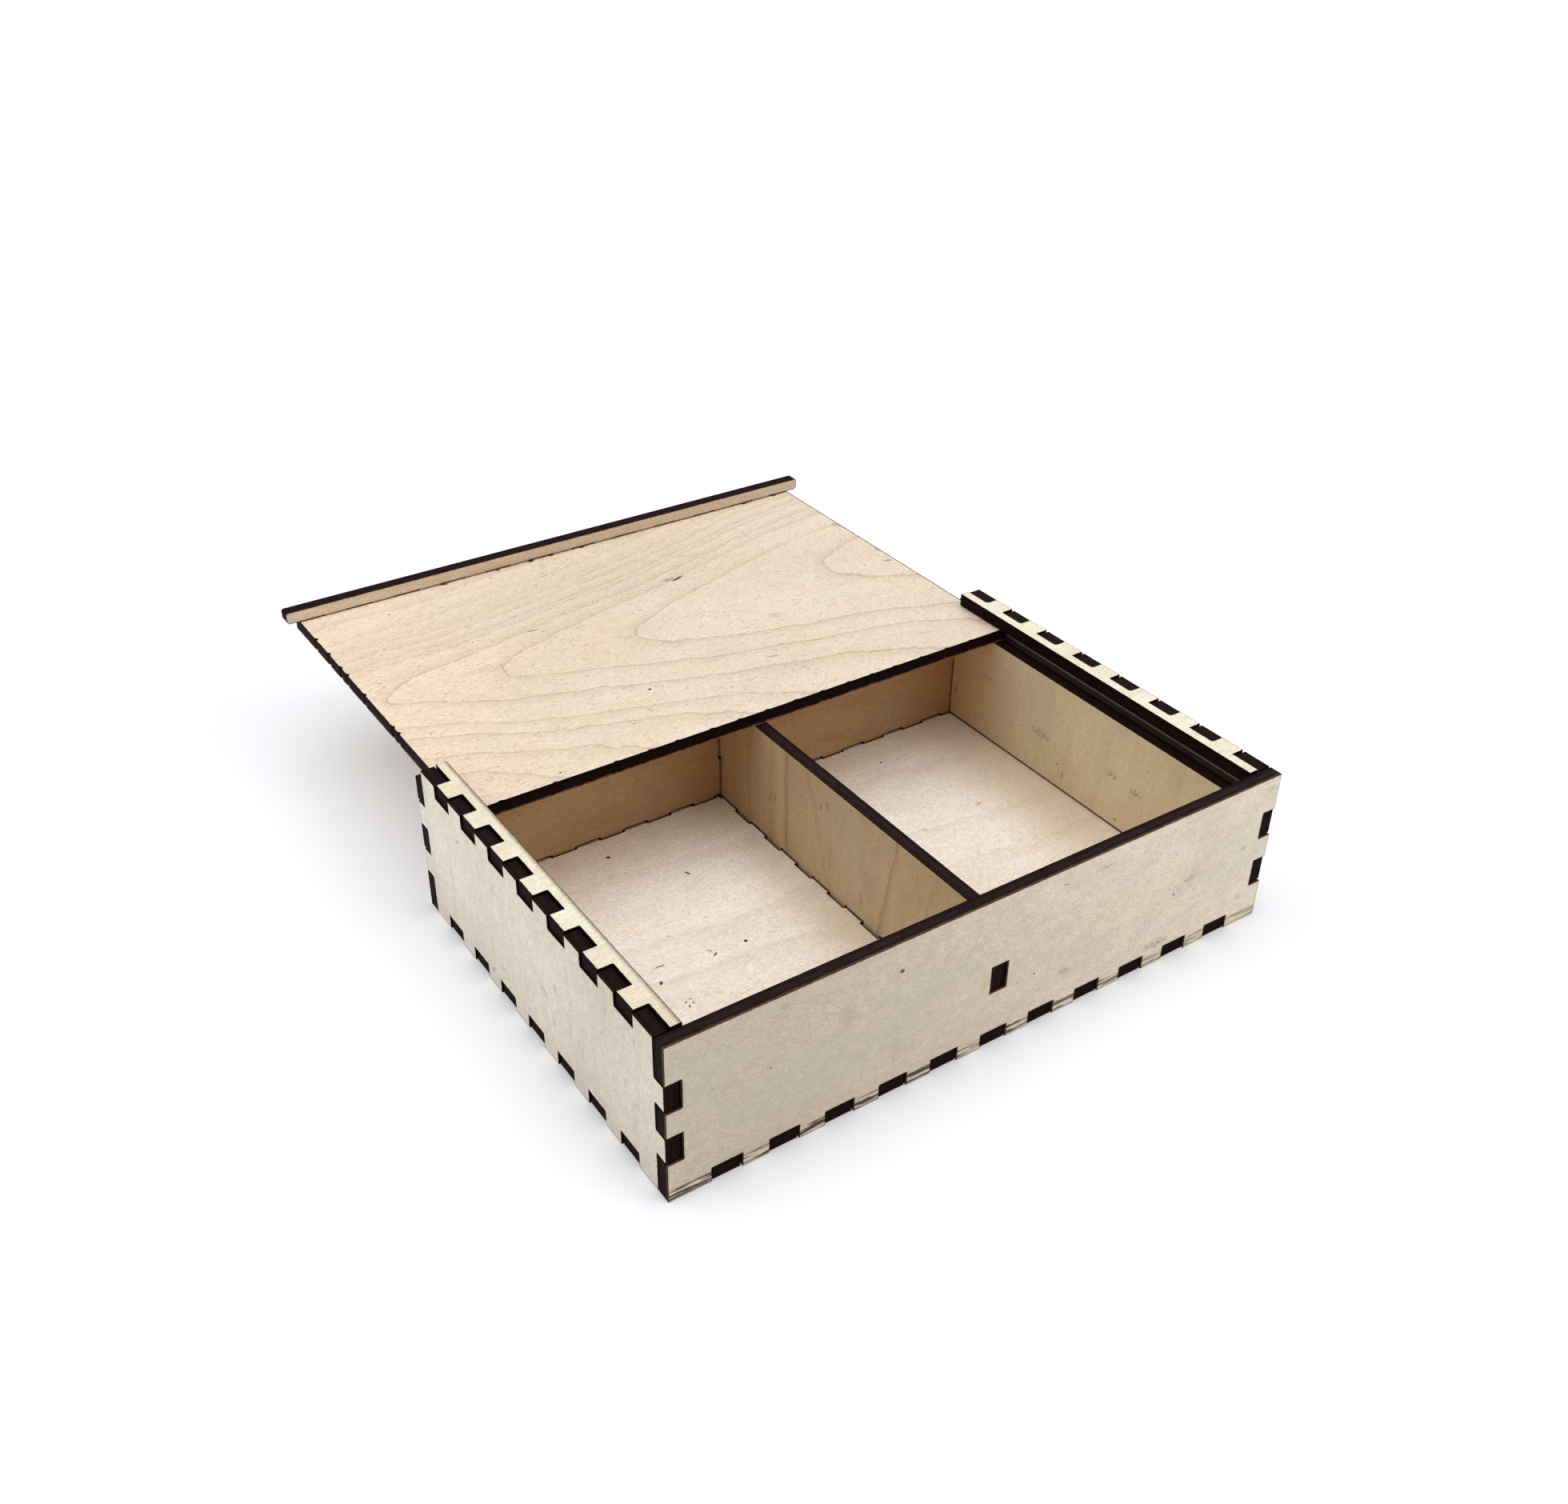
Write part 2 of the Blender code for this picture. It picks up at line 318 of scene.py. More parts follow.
def cut_sheet(node, number):
    """A sheet of plywood in place of a solid of the frame: its faces, and the cut round it."""
    low, high = (np.array(corner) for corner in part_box(node))
    through = int(np.argmin(high - low))
    along = GRAIN[node]
    across = 3 - through - along
    corners = sheet_loops(node, along, across, through, high[through])
    loops = [eased_loop(closed_up(c, node), node) for c in corners]
    outline = np.concatenate(loops)
    into = np.concatenate([inward(loop) for loop in loops])
    inner, inner_far = face_points(loops, low[[along, across]] / MM, high[[along, across]] / MM)
    triangles = fill_face(loops, inner)

    base = low[through] / MM
    flat, height, edge_far = [], [], []
    for up, inset, share, row_seed in CUT_ROWS:
        seed = SEEDS_APART * number + row_seed
        worn = np.array([raggedness(p, seed, node) for p in outline]) * share + inset
        flat.append(outline + into * worn[:, None])
        height.append(np.full(len(outline), up))
        edge_far.append(np.zeros(len(outline)))
    for up in (0.0, SHEET):
        flat.append(inner)
        height.append(np.full(len(inner), up))
        edge_far.append(np.minimum(inner_far, EDGE_REACH))
    flat, height = np.concatenate(flat), np.concatenate(height)
    edge_far = np.concatenate(edge_far)
    placed = np.zeros((len(flat), 3))
    placed[:, along], placed[:, across] = flat[:, 0] * MM, flat[:, 1] * MM
    placed[:, through] = (base + height) * MM

    count, rows = len(outline), len(CUT_ROWS)
    first_inner = rows * count
    faces = []
    for row, inner_start, turn in ((0, first_inner, -1), (rows - 1, first_inner + len(inner), 1)):
        owner = np.concatenate([np.arange(count) + row * count, np.arange(len(inner)) + inner_start])
        faces += [triangle[::turn] for triangle in owner[triangles].tolist()]
    finish = [0] * len(faces)
    start = 0
    for loop in loops:
        for k in range(len(loop)):
            here, after = start + k, start + (k + 1) % len(loop)
            for row in range(rows - 1):
                low_row, high_row = row * count, (row + 1) * count
                faces.append([low_row + here, low_row + after, high_row + after, high_row + here])
        start += len(loop)
    finish += [1] * (len(faces) - len(finish))
    handed = Matrix([[float(k == axis) for k in range(3)] for axis in (along, across, through)])
    if handed.determinant() < 0:
        faces = [face[::-1] for face in faces]

    mesh = bpy.data.meshes.new(node + "_ply")
    mesh.from_pydata(placed.tolist(), [], faces)
    mesh.polygons.foreach_set("material_index", finish)
    mesh.polygons.foreach_set("use_smooth", [True] * len(faces))
    mesh.set_sharp_from_angle(angle=SHARP_FROM)
    grain = mesh.attributes.new("grain_mm", "FLOAT_VECTOR", "POINT")
    grain.data.foreach_set("vector", np.column_stack([flat, height]).astype(np.float32).ravel())
    edge = mesh.attributes.new("edge_mm", "FLOAT", "POINT")
    edge.data.foreach_set("value", edge_far.astype(np.float32))
    mesh.update()
    piece = bpy.data.objects.new(node + "_ply", mesh)
    bpy.context.scene.collection.objects.link(piece)
    return piece


# Values in a node tree, and the nodes that work on them


class Value:
    """What a node's socket puts out. A sign between two values adds the Math node for it."""

    def __init__(self, socket):
        self.socket = socket

    def __add__(self, other):
        return maths("ADD", self, other)

    def __sub__(self, other):
        return maths("SUBTRACT", self, other)

    def __rsub__(self, other):
        return maths("SUBTRACT", other, self)

    def __mul__(self, other):
        return maths("MULTIPLY", self, other)

    def __truediv__(self, other):
        return maths("DIVIDE", self, other)

    def __pow__(self, other):
        return maths("POWER", self, other)


def feed(socket, value):
    """Link the value to the socket, or set a plain one there. None leaves the socket alone."""
    if isinstance(value, Value):
        socket.id_data.links.new(value.socket, socket)
    elif value is not None:
        socket.default_value = value


def tree_of(values):
    return next(value.socket.id_data for value in values if isinstance(value, Value))


def new_node(kind, values, **settings):
    """A node in the tree that the values are in, with the values fed to its sockets in order."""
    node = tree_of(values).nodes.new("ShaderNode" + kind)
    for name, setting in settings.items():
        setattr(node, name, setting)
    for socket, value in zip(node.inputs, values):
        feed(socket, value)
    return node


def maths(operation, *values):
    return Value(new_node("Math", values, operation=operation).outputs[0])


def larger(*values):
    return maths("MAXIMUM", *values)


def vectors(operation, *values):
    node = new_node("VectorMath", values, operation=operation)
    return Value(node.outputs["Value" if operation == "LENGTH" else "Vector"])


def fade(value, start, end, to_start=0.0, to_end=1.0):
    """to_start where the value is at start, to_end where it is at end, and a smooth change between."""
    values = (value, start, end, to_start, to_end)
    return Value(new_node("MapRange", values, interpolation_type="SMOOTHSTEP").outputs[0])


def clouds(place, stretch, detail=2.0, roughness=0.5, shift=(0.0, 0.0, 0.0)):
    """Noise between 0 and 1. The stretch is in turns to the millimetre."""
    turns = vectors("MULTIPLY", vectors("ADD", place, shift), stretch)
    return Value(new_node("TexNoise", (turns, None, 1.0, detail, roughness)).outputs[0])


def linear(shade):
    """A colour as it is seen on a screen, in the linear values that a node takes."""
    values = [v / 255 for v in shade]
    return (*(v / 12.92 if v <= 0.04045 else ((v + 0.055) / 1.055) ** 2.4 for v in values), 1.0)


def blend_colours(share, first, second, how="MIX"):
    """Two colours mixed. Each comes from a node, or is red, green and blue as on a screen."""
    shades = [shade if isinstance(shade, Value) else linear(shade) for shade in (first, second)]
    values = (share, *[None] * 5, *shades)  # the five between are for numbers and vectors
    return Value(new_node("Mix", values, data_type="RGBA", blend_type=how).outputs[2])


def split(vector):
    return [Value(socket) for socket in new_node("SeparateXYZ", (vector,)).outputs]


def join(*values):
    return Value(new_node("CombineXYZ", values).outputs[0])


def new_group(name, work, **takes):
    """A node group with named sockets. work gets its inputs and gives its outputs by name."""
    tree = bpy.data.node_groups.new(name, "ShaderNodeTree")
    takes = {"Position": (0.0, 0.0, 0.0), **takes}
    labels = [label.replace("_", " ") for label in takes]
    for label, value in zip(labels, takes.values()):
        kind = "NodeSocketVector" if isinstance(value, tuple) else "NodeSocketFloat"
        socket = tree.interface.new_socket(label, in_out="INPUT", socket_type=kind)
        socket.default_value = value
    given = tree.nodes.new("NodeGroupInput").outputs
    gives = work(*(Value(given[label]) for label in labels))
    for label in gives:
        tree.interface.new_socket(label, in_out="OUTPUT", socket_type="NodeSocketFloat")
    leaving = tree.nodes.new("NodeGroupOutput").inputs
    for label, value in gives.items():
        feed(leaving[label], value)
    return tree


def use_group(group, **values):
    """The group's outputs, with its inputs fed by name (an underscore stands for a space)."""
    node = tree_of(values.values()).nodes.new("ShaderNodeGroup")
    node.node_tree = group
    for label, value in values.items():
        feed(node.inputs[label.replace("_", " ")], value)
    return {socket.name: Value(socket) for socket in node.outputs}


# What wood and the laser leave on it, with painted shade in gaps and a painted highlight along edges,
# each made into a group below


def fibres(place, pore_share):
    """Fine streaks along the grain, short dark pores and short light flecks between them."""
    wide = clouds(place, (0.05, 0.6, 0.6), 3.0, 0.6)
    fine = clouds(place, (0.22, 2.6, 2.6), 2.0, 0.6, (31.0, 7.0, 0.0))
    dash = clouds(place, (0.6, 3.4, 3.4), 2.0, 0.5, (0.0, 53.0, 0.0))
    fleck = clouds(place, (0.7, 3.0, 3.0), 2.0, 0.55, (11.0, 91.0, 0.0))
    fuzz = clouds(place, (1.6, 2.8, 2.8), 2.0, 0.7, (5.0, 0.0, 0.0))
    mottle = clouds(place, (0.28, 0.42, 0.42), 3.0, 0.7, (0.0, 0.0, 63.0))
    start = pore_share * -0.2 + 0.8
    return {
        "Streak": fade(fine * 0.45 + wide * 0.55, 0.36, 0.64),
        "Pore": fade(dash, start, start + 0.07),
        "Fleck": fade(fleck, 0.3, 0.7),
        "Fuzz": fade(fuzz, 0.3, 0.7),
        "Mottle": fade(mottle, 0.32, 0.68),
    }


def growth_lines(place, spacing, slope, wander, line_width, band_width):
    """Growth lines that run roughly along the grain, each with a soft darker band on one side."""
    x, y, _ = split(place)
    drift = clouds(place, (0.012, 0.03, 0.0), 1.0, 0.4)
    ripple = clouds(place, (0.11, 0.16, 0.0), 1.0, 0.5, (17.0, 0.0, 0.0))
    jag = clouds(place, (0.8, 0.8, 0.0), 1.0, 0.5, (0.0, 29.0, 0.0))
    field = x * slope + y + (drift - 0.5) * (wander * 4.0) + ripple * 1.2
    turns = field / spacing
    turns = turns + clouds(join(turns, 0.0, 0.0), (0.9, 0.0, 0.0), 0.0) * 1.3
    far = maths("PINGPONG", turns, 0.5) * spacing + (jag * 0.5 - 0.2)
    past = maths("FRACT", turns) * spacing
    return {
        "Line": fade(far, line_width * 0.5, line_width * 1.6, 1.0, 0.0),
        "Band": fade(past, 0.0, band_width, 1.0, 0.0),
    }


def contours(place, field, steepness, levels, band_width, clarity=1.0):
    """A thin jagged line at each level of the field, and a soft band below it."""
    jag = clouds(place, (0.9, 0.9, 0.0), 2.0, 0.6, (0.0, 29.0, 0.0))
    waver = clouds(place, (0.22, 0.22, 0.0), 1.0, 0.5, (13.0, 0.0, 0.0))
    broken = clouds(place, (0.5, 0.9, 0.0), 2.0, 0.6, (0.0, 67.0, 0.0))
    field = ((waver - 0.5) * 1.8 + (jag - 0.5) * 0.8) * steepness + field
    line, band = 0.0, 0.0
    for level, strength in levels:
        off = (level - field) / steepness
        line = larger(line, fade(maths("ABSOLUTE", off), 0.05, 0.5, strength, 0.0))
        below = fade(off, 0.0, band_width, strength, 0.0) * maths("GREATER_THAN", off, 0.0)
        band = larger(band, below)
    return {"Line": line * fade(broken, 0.32, 0.55, 0.35, 1.0) * clarity, "Band": band}


# Levels of the rings, with their strengths
LID_RINGS = (
    (-255.0, 0.8), (-198.0, 0.5), (-172.0, 0.3), (-156.0, 0.7), (-134.0, 0.85), (-110.0, 0.85),
    (-95.0, 0.75), (-65.5, 1.0), (-40.0, 1.0), (-7.0, 1.0), (51.0, 1.0),
)
FLOOR_RINGS = ((31.0, 0.8), (9.0, 0.8), (-4.0, 1.0), (42.0, 0.4), (-29.0, 0.5), (20.0, 0.3))
DIVIDER_RINGS = (
    (-28.0, 0.4), (-16.0, 1.0), (8.0, 0.5), (19.7, 1.0), (26.0, 0.6), (34.7, 0.5), (40.5, 0.5),
)
CURVED_TO = 20.0  # past the lid's ridge, the rings curve up to here and then run straight
BENT_FROM = 36.0  # on its other side, they bend from here


def lid_figure(place):
    """The rings of the lid's veneer, which come to points where the log's heart rose to the surface."""
    x, y, _ = split(place)
    off = y - (fade(x, -62.0, -42.0, 78.6, 75.4) + fade(x, 0.0, 55.0, 0.0, 5.2))
    above, below = larger(off, 0.0), larger(off * -1.0, 0.0)
    rise = larger(above - CURVED_TO, 0.0) * 6.7 + maths("MINIMUM", above, CURVED_TO) ** 2.0 * 0.167
    run = (below * 2.9) ** 2.0

    def drop(bluntness):
        return maths("SQRT", run + bluntness**2.0) - bluntness

    rough = x - drop(15.0) - rise
    blunt = fade(rough, -42.0, -12.0, 8.0, 25.0) + fade(rough, 18.0, 48.0, 0.0, 45.0)
    bend = larger(below - BENT_FROM, 0.0) * 1.4
    field = x + bend - drop(blunt) - rise * fade(rough, -32.0, -6.0, 1.0, 1.35)
    field = field + (clouds(place, (0.05, 0.07, 0.0)) - 0.5) * 9.0
    steep = larger(fade(below, 0.0, 10.0, 1.0, 3.0), fade(above, 0.0, 20.0, 1.0, 6.7))
    return contours(place, field, steep, LID_RINGS, 3.6, fade(above, 4.0, 16.0, 1.0, 0.55))


def floor_figure(place):
    """Faint rings across the floor, a little aslant in both compartments."""
    x, y, _ = split(place)
    side = maths("SIGN", x) * -34.0 + x
    field = side * 0.09 + y + (clouds(place, (0.03, 0.05, 0.0)) - 0.5) * 9.0
    return contours(place, field, 1.0, FLOOR_RINGS, 5.0)


def divider_figure(place):
    """Upright rings on the divider, two of them leaning."""
    up, y, _ = split(place)
    lean = fade(y, 12.0, 19.0, fade(y, -10.0, 0.0, 0.19, -0.36), 0.0)
    field = (up - 16.0) * lean + y + (clouds(place, (0.05, 0.08, 0.0)) - 0.5) * 3.0
    return contours(place, field, 1.0, DIVIDER_RINGS, 2.4)


def scorched_rim_and_highlight(place, far, burn_width, halo_width):
    """The burnt line along a cut, the smoke's tan beside it, and a painted highlight on the face just
    beyond them.
    """
    wobble = clouds(place, (1.1, 1.1, 1.1), 3.0, 0.65)
    patch = clouds(place, (0.09, 0.09, 0.4), 1.0, 0.5, (0.0, 0.0, 61.0))
    shifted = (0.5 - wobble) * 0.3 + far
    outer = burn_width * 1.45
    start = outer + 0.05
    soft = fade(shifted, 0.0, halo_width * (patch + 0.5), 1.0, 0.0)
    bright = fade(far, outer, start) * fade(far, start, start + 0.25, 1.0, 0.0)
    return {
        "Burnt": fade(shifted, burn_width * 0.55, outer, 1.0, 0.0),
        "Halo": soft * fade(patch, 0.3, 0.7, 0.45, 1.0),
        "Bright edge": bright * fade(wobble, 0.3, 0.6, 0.4, 1.0),
    }


def placed_mark(place, centre, half, turn, raggedness, softness, breakup, grit, speck):
    """One mark at a named place: a fleck, a smudge, a scratch or a patch of painted shade, as an oval
    with a ragged rim.
    """
    from_centre = vectors("SUBTRACT", place, centre)
    turned = new_node("VectorRotate", (from_centre, None, None, turn), rotation_type="Z_AXIS")
    reach = vectors("LENGTH", vectors("DIVIDE", Value(turned.outputs[0]), half))
    mask = fade(grit * raggedness + reach, 1.0 - softness, 1.0, 1.0, 0.0)
    return {"Mask": mask * (speck * breakup + (1.0 - breakup))}


def finger_gap(place, centre, half, half_pitch, grit):
    """Painted shade in the gap beside a finger, and again beside every finger along the joint."""
    low = vectors("MULTIPLY", half_pitch, (-1.0, -1.0, -1.0))
    beside = vectors("WRAP", vectors("SUBTRACT", place, centre), half_pitch, low)
    past = split(vectors("SUBTRACT", vectors("ABSOLUTE", beside), half))
    outside = larger(larger(past[0], past[1]), past[2])
    return {"Mask": fade(grit * 0.12 + outside, -0.08, 0.08, 1.0, 0.0)}


def strewn_specks(place, spacing, radius, share):
    """Small round specks strewn over a face."""
    flat = vectors("MULTIPLY", place, (1.0, 1.0, 0.0))
    turns = vectors("DIVIDE", flat, join(spacing, spacing, 1.0))
    near = new_node("TexVoronoi", (turns, None, 1.0), voronoi_dimensions="3D").outputs
    red, green, _ = split(Value(near["Color"]))
    size = radius * (green + 0.6)
    spot = fade(Value(near["Distance"]) * spacing, size * 0.5, size, 1.0, 0.0)
    return {"Mask": spot * maths("GREATER_THAN", red, 1.0 - share)}


def soot(place, amount):
    """Grey bloom and the small sooty specks that lie on the rougher veneers."""
    bloom = clouds(place, (0.035, 0.06, 0.3), 3.0, 0.55, (0.0, 41.0, 0.0))
    cluster = clouds(place, (0.07, 0.12, 0.3), 1.0, 0.5, (77.0, 0.0, 0.0))
    grain = clouds(place, (0.8, 2.6, 2.6), 2.0, 0.6, (0.0, 83.0, 0.0))
    bound = amount * -0.16 + 0.82
    return {
        "Bloom": fade(bloom, 0.38, 0.66),
        "Specks": fade(cluster * 0.35 + grain * 0.75, bound, bound + 0.09),
    }


def torn_foot(place):
    """Torn fibres along the foot of the back wall, where the veneer has split in layers."""
    x, up, _ = split(place)
    layers = clouds(place, (0.07, 1.3, 0.0), 3.0, 0.65)
    low = fade(up, 0.1, 0.5) * fade(layers * 1.6 + up, 3.3, 3.7, 1.0, 0.0)
    area = low * fade(x, 0.0, 60.0, 1.0, 0.6)
    return {
        "Crack": fade(layers, 0.47, 0.52) * area,
        "Pale": fade(layers, 0.47, 0.41) * area,
    }


def burnt_cut(place):
    """The burnt cut: plies and glue lines through the sheet, and the beam's fine upright strokes."""
    _, _, depth = split(place)
    level = (clouds(place, (0.5, 0.5, 0.0), 2.0, 0.6) - 0.5) * 0.5 + depth
    from_middle = maths("ABSOLUTE", level - SHEET / 2)
    glue = fade(maths("ABSOLUTE", from_middle - SHEET / 4), 0.04, 0.2)
    strokes = clouds(place, (2.8, 2.8, 0.12), 2.0, 0.7, (0.0, 0.0, 3.0))
    blotch = clouds(place, (0.35, 0.35, 0.8), 3.0, 0.6, (9.0, 0.0, 0.0))
    ash = clouds(place, (2.2, 2.2, 3.4), 3.0, 0.7, (0.0, 19.0, 0.0))
    rust = clouds(place, (0.35, 0.35, 0.9), 3.0, 0.65, (0.0, 0.0, 23.0))
    inner = fade(from_middle, 0.9, 1.35, 1.0, 0.0)
    outer = fade(rust * 0.9 + level, 0.45, 1.1, 1.0, 0.0)
    return {
        "Ply tone": glue * inner * fade(blotch, 0.3, 0.7, 0.3, 1.0),
        "Ash": fade(ash, 0.57, 0.72) * inner,
        "Brown": outer * fade(rust, 0.35, 0.6, 0.5, 1.0),
        "Black": fade(depth, 2.55, 2.85),
        "Height": strokes * 0.7 + glue * 0.3,
    }


NOWHERE = (0.0, 0.0, 0.0)
ONE_EACH_WAY = (1.0, 1.0, 1.0)

FIBRES = new_group("Fibres", fibres, Pore_share=0.5)
GROWTH = new_group(
    "Growth lines", growth_lines, Spacing=16.0, Slope=0.05, Wander=6.0, Line_width=0.3, Band_width=5.0
)
LID_FIGURE = new_group("Lid figure", lid_figure)
FLOOR_FIGURE = new_group("Floor figure", floor_figure)
DIVIDER_FIGURE = new_group("Divider figure", divider_figure)
RIM = new_group("Scorched rim and highlight", scorched_rim_and_highlight, Edge_distance=1.0, Burn_width=0.1, Halo_width=0.7)
MARK = new_group(
    "Placed mark", placed_mark, Centre=NOWHERE, Half_size=ONE_EACH_WAY,
    Turn=0.0, Raggedness=0.5, Softness=0.5, Breakup=0.0, Grit=0.0, Speck=1.0,
)
FINGER_GAPS = new_group(
    "Finger gaps", finger_gap, Centre=NOWHERE, Half_size=ONE_EACH_WAY, Half_pitch=ONE_EACH_WAY, Grit=0.0
)
DOTS = new_group("Strewn specks", strewn_specks, Spacing=3.0, Radius=0.18, Share=0.2)
SOOT = new_group("Soot", soot, Amount=0.5)
FOOT = new_group("Torn foot", torn_foot)
CHAR = new_group("Burnt cut", burnt_cut)

# Colours, as red, green and blue on a screen
CHAR_DARK = (18, 8, 8)
CHAR_LIGHT = (29, 16, 15)
CHAR_BROWN = (66, 36, 24)
CHAR_ASH = (64, 48, 44)
CHAR_BLACK = (12, 5, 4)
# Burnt cut faces that look upwards: lighter, painted light with some dust
DUST_AND_TOPLIGHT_DARK = (26, 16, 16)
DUST_AND_TOPLIGHT_PALE = (44, 33, 32)
FOOT_PALE = (232, 214, 174)
FOOT_DARK = (34, 23, 16)
DARK = (70, 52, 38)
# Dark lines in the joints, gaps and corners between sheets: painted shade, with some soot from the
# cutting
SOOT_AND_SHADE = (46, 26, 20)
CRACK = (40, 26, 18)
GREY = (120, 108, 92)
BROWN = (120, 84, 52)
RAIL_SMOKE = (84, 72, 44)

CUT_GLOSS = 0.02
VENEER_GLOSS = 0.15
CUT_RELIEF = 0.08 * MM
VENEER_RELIEF = 0.05 * MM
CUT_ROUGHNESS = (0.8, 0.55)
VENEER_ROUGHNESS = (0.62, 0.78)
MARK_REACH = 1.5  # how far a mark goes into the sheet


def attribute(tree, name, output):
    node = tree.nodes.new("ShaderNodeAttribute")
    node.attribute_name = name
    return Value(node.outputs[output])


def new_material(name):
    made = bpy.data.materials.new(name)
    made.use_nodes = True
    return made, made.node_tree, made.node_tree.nodes["Principled BSDF"]


def finish_shader(shader, seen, roughness, gloss, height, relief):
    """The colour, the sheen and the relief of a surface, on the shader's own sockets."""
    feed(shader.inputs["Base Color"], seen)
    feed(shader.inputs["Roughness"], roughness)
    shader.inputs["Specular IOR Level"].default_value = gloss
    node = height.socket.id_data.nodes.new("ShaderNodeBump")
    node.inputs["Strength"].default_value = 1.0
    node.inputs["Distance"].default_value = relief
    feed(node.inputs["Height"], height)
    feed(shader.inputs["Normal"], Value(node.outputs[0]))


def over(seen, mask, strength, shade):
    return blend_colours(mask * strength, seen, shade)


def cut_material(name, look, shift):
    """The burnt edge of a sheet."""
    made, tree, shader = new_material(name)
    place = vectors("ADD", attribute(tree, "grain_mm", "Vector"), shift)
    burnt = use_group(CHAR, Position=place)
    facing = split(Value(tree.nodes.new("ShaderNodeNewGeometry").outputs["Normal"]))
    # Cut faces that look upwards are made lighter: painted light, with some dust
    upward_dust_and_light = fade(facing[2], 0.4, 0.9) * look["cut_dust"]
    dark = blend_colours(upward_dust_and_light, CHAR_DARK, DUST_AND_TOPLIGHT_DARK)
    light = blend_colours(upward_dust_and_light, CHAR_LIGHT, DUST_AND_TOPLIGHT_PALE)
    seen = blend_colours(burnt["Ply tone"], dark, light)
    seen = blend_colours(burnt["Ash"] * 0.3, seen, CHAR_ASH)
    seen = blend_colours(burnt["Brown"] * look["cut_brown"], seen, look["cut_brown_shade"])
    seen = blend_colours(burnt["Black"], seen, CHAR_BLACK)
    roughness = fade(burnt["Height"], 0.2, 0.8, *CUT_ROUGHNESS)
    finish_shader(shader, seen, roughness, CUT_GLOSS, burnt["Height"], CUT_RELIEF)
    return made


def veneer_material(name, look, shift):
    """The pale face of a sheet. The look says its tones and what lies on it."""
    made, tree, shader = new_material(name)
    place = attribute(tree, "grain_mm", "Vector")
    far = attribute(tree, "edge_mm", "Fac")
    moved = vectors("ADD", place, shift)
    axes = split(place)

    grown = use_group(FIBRES, Position=moved, Pore_share=look["pores"])
    tone = clouds(moved, (0.016, 0.035, 0.3), 3.0, 0.55, (0.0, 0.0, 15.0))
    seen = blend_colours(fade(tone, 0.36, 0.64), look["pale"], look["deep"])
    blotch = clouds(moved, (0.07, 0.12, 0.3), 3.0, 0.6, (0.0, 0.0, 51.0))
    seen = over(seen, fade(blotch, 0.42, 0.68), look["blotches"], look["warm"])
    # Drifts change the tone along a sheet; several are painted light and shade
    for strength, shade, axis, start, end in look["drifts"]:
        seen = over(seen, fade(axes[axis], start, end), strength, shade)
    seen = over(seen, grown["Streak"], look["streaks"], look["streak"])
    rings = look["rings"](moved, place)
    seen = over(seen, rings["Band"], look["band"], look["ring"])
    seen = over(seen, rings["Line"], look["line"], look["ring"])
    seen = over(seen, grown["Pore"], look["pore_depth"], look["pore"])
    light = 1.0
    for part in ("Fleck", "Fuzz", "Mottle"):
        swing = look[part.lower()]
        light = fade(grown[part], 0.0, 1.0, 1.0 - swing, 1.0 + swing) * light
    seen = blend_colours(1.0, seen, join(light, light, light), "MULTIPLY")
    sooty = use_group(SOOT, Position=moved, Amount=look["specks"])
    seen = over(seen, sooty["Bloom"], look["bloom"], look["grey"])
    seen = over(seen, sooty["Specks"], look["speck_depth"], look["pore"])
    dots = use_group(DOTS, Position=moved, Share=look["dots"])["Mask"]
    seen = over(seen, dots, 0.75, look["pore"])
    rim = use_group(RIM, Position=moved, Edge_distance=far, Halo_width=look["halo_width"])
    seen = over(seen, rim["Halo"], look["halo"], look["tan"])
    # The bright edge is a painted highlight along the cut
    seen = over(seen, rim["Bright edge"], look["bright_edge"], look["bright_shade"])
    grit = clouds(place, (0.9, 2.4, 2.4), 3.0, 0.7) * 2.0 - 1.0
    speck = fade(clouds(place, (1.5, 2.6, 2.6), 2.0, 0.65, (0.0, 0.0, 47.0)), 0.5, 0.6)
    for strength, shade, centre, half, turn, ragged, soft, breakup in look["marks"]:
        mark = use_group(
            MARK, Position=place, Centre=(*centre, look["shown"]), Half_size=(*half, MARK_REACH),
            Turn=math.radians(turn), Raggedness=ragged, Softness=soft, Breakup=breakup,
            Grit=grit, Speck=speck,
        )
        seen = over(seen, mark["Mask"], strength, shade)
    for axis, strength, shade, centre, half in look["finger_gaps"]:
        gap = use_group(
            FINGER_GAPS, Position=place, Centre=(*centre, look["shown"]), Half_size=(*half, MARK_REACH),
            Half_pitch=tuple(FINGER_PITCH / 2 if k == axis else FAR_AWAY for k in range(3)),
            Grit=grit,
        )
        seen = over(seen, gap["Mask"], strength, shade)
    if look["torn_foot"]:
        foot = use_group(FOOT, Position=place)
        seen = over(seen, foot["Pale"], 0.75, FOOT_PALE)
        seen = over(seen, foot["Crack"], 0.9, FOOT_DARK)
    seen = blend_colours(rim["Burnt"], seen, CHAR_DARK)
    roughness = fade(grown["Streak"], 0.0, 1.0, *VENEER_ROUGHNESS)
    height = grown["Streak"] * 0.3 + grown["Fleck"] * 0.5 + grown["Fuzz"] * 0.3 - grown["Pore"]
    finish_shader(shader, seen, roughness, VENEER_GLOSS, height - rim["Burnt"], VENEER_RELIEF)
    return made


def plain_rings(spacing, slope, wander):
    def rings(moved, place):
        return use_group(GROWTH, Position=moved, Spacing=spacing, Slope=slope, Wander=wander)

    return rings


def figure(group):
    def rings(moved, place):
        return use_group(group, Position=place)

    return rings


LONG = 400.0  # half a mark's length where it runs right across the sheet

